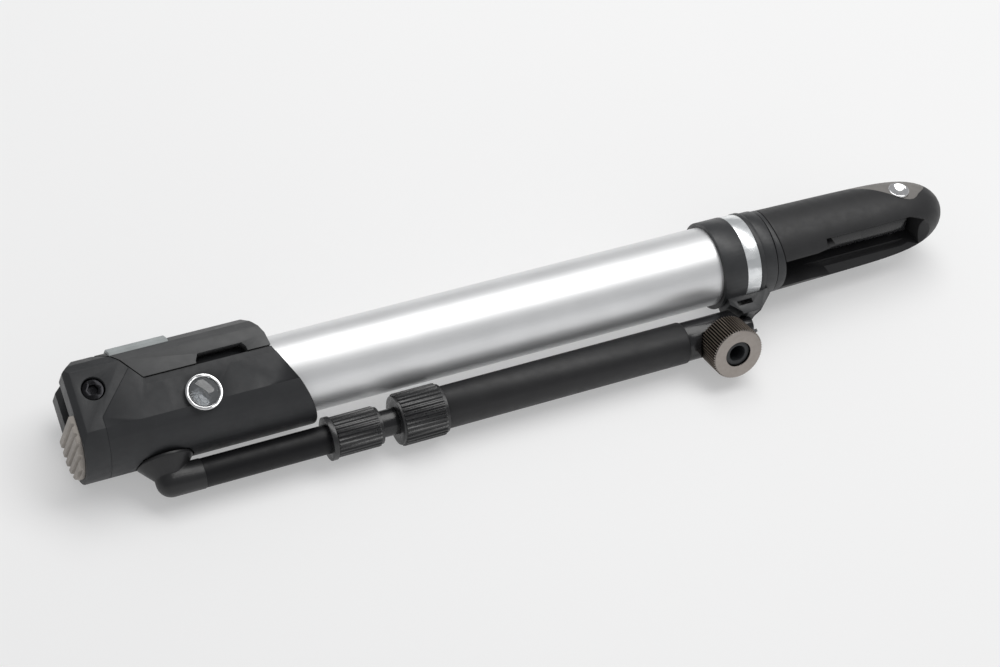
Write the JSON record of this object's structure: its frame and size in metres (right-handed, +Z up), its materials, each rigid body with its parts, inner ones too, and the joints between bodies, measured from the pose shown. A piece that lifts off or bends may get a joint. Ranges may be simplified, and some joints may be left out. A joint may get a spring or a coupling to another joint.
{
  "type": "bicycle mini pump",
  "caption": "Slim bicycle hand pump with a silver barrel, fold-out foot peg, folding handle and a clipped side hose ending in a clamp-knob valve head.",
  "frame": {"origin": "on the barrel axis, at the face of the rubber foot pad that meets the ground when pumping", "axes": "+X along the barrel from the foot end to the handle; +Z up as the pump lies on a table, resting on the far lower edge of its base and on its hose; the hose side faces -Y and the foot peg +Y"},
  "size_m": [0.2825, 0.0545, 0.033],
  "materials": {
    "anodised_barrel": "fine satin silver anodising",
    "base_black": "fine spark-eroded texture",
    "peg_black": "fine spark-eroded texture",
    "collar_black": "fine texture",
    "handle_soft": "soft-touch matt",
    "inlay_grey": "matt warm grey",
    "foot_rubber": "matt warm grey",
    "peg_rubber": "matt cool grey",
    "seal_rubber": "matt",
    "grommet_rubber": "semi-matt",
    "chrome": "polished",
    "clear_lens": "clear",
    "clear_band": "glossy, silver-backed",
    "black_steel": "black oxide",
    "zinc_steel": "plain machined",
    "spring_steel": "bright",
    "brass": "turned",
    "bushing_nylon": "natural acetal",
    "rod_black": "black, semi-gloss",
    "hose_fitting": "satin",
    "hose_rubber": "smooth",
    "nut_black": "satin",
    "neck_gloss": "glossy",
    "sleeve_matt": "fine matt",
    "gunmetal": "turned nickel, darkened knurl"
  },
  "bodies": {
    "base": {"barrel": "anodised_barrel", "base_sleeve": "base_black", "base_cap": "base_black", "end_pad": "foot_rubber", "badge_rim": "chrome", "badge_lens": "clear_lens", "peg_hinge_screw": "black_steel", "peg_hinge_nut": "black_steel", "cap_screws": "zinc_steel", "valve_block": "zinc_steel", "barrel_seal": "seal_rubber", "valve_seat": "brass", "valve_spring": "spring_steel", "collar": "collar_black", "clear_band": "clear_band", "collar_cap": "collar_black", "rod_bushing": "bushing_nylon", "rod_wiper": "seal_rubber"},
    "check_valve": {"valve_poppet": "seal_rubber"},
    "piston": {"piston_head": "bushing_nylon", "piston_seal": "seal_rubber"},
    "rod": {"rod_foot": "zinc_steel", "piston_retainer": "spring_steel", "rod_tube": "rod_black", "rod_eye": "rod_black", "rod_bumper": "collar_black"},
    "handle": {"handle_grip": "handle_soft", "pivot_rivet": "chrome", "rivet_inlay": "inlay_grey"},
    "foot_peg": {"foot_peg": "peg_black", "peg_pad": "peg_rubber"},
    "hose_arm": {"elbow": "hose_fitting", "elbow_seal": "seal_rubber", "hose_pipe": "hose_rubber", "ferrule_nut": "nut_black", "swivel_neck": "neck_gloss", "neck_seal": "seal_rubber"},
    "hose_head": {"swivel_nut": "nut_black", "hose_sleeve": "sleeve_matt", "hose_core": "hose_rubber", "head_body": "neck_gloss", "valve_grommet": "grommet_rubber"},
    "clamp_knob": {"clamp_knob": "gunmetal"}
  },
  "joints": [
    {"name": "check_valve_lift", "type": "slide", "parent": "base", "child": "check_valve", "axis": [-1, 0, 0], "range_m": [0, 0.001], "stiffness_N_per_m": 200, "springref_m": -0.001, "deforming": ["valve_spring"]},
    {"name": "piston_stroke", "type": "slide", "parent": "base", "child": "piston", "axis": [1, 0, 0], "range_m": [0, 0.15]},
    {"name": "rod_spin", "type": "hinge", "parent": "piston", "child": "rod", "pos_m": [0.05, 0, 0], "axis": [1, 0, 0], "continuous": true},
    {"name": "handle_fold", "type": "hinge", "parent": "rod", "child": "handle", "pos_m": [0.2661, 0, 0], "axis": [0, -0.1323, -0.9912], "range_deg": [0, 90]},
    {"name": "peg_fold", "type": "hinge", "parent": "base", "child": "foot_peg", "pos_m": [0.0083, 0.00598, 0.00229], "axis": [0, -0.3584, 0.9336], "range_deg": [0, 90]},
    {"name": "hose_swing", "type": "hinge", "parent": "base", "child": "hose_arm", "pos_m": [0.024, -0.01961, -0.00753], "axis": [0, -0.9336, -0.3584], "range_deg": [0, 120]},
    {"name": "head_swivel", "type": "hinge", "parent": "hose_arm", "child": "hose_head", "pos_m": [0.095, -0.01961, -0.00753], "axis": [1, 0, 0], "range_deg": [-47.5, 132]},
    {"name": "knob_turn", "type": "hinge", "parent": "hose_head", "child": "clamp_knob", "pos_m": [0.1954, -0.02706, -0.00463], "axis": [0, -0.9323, 0.3616], "range_deg": [-180, 180]}
  ]
}
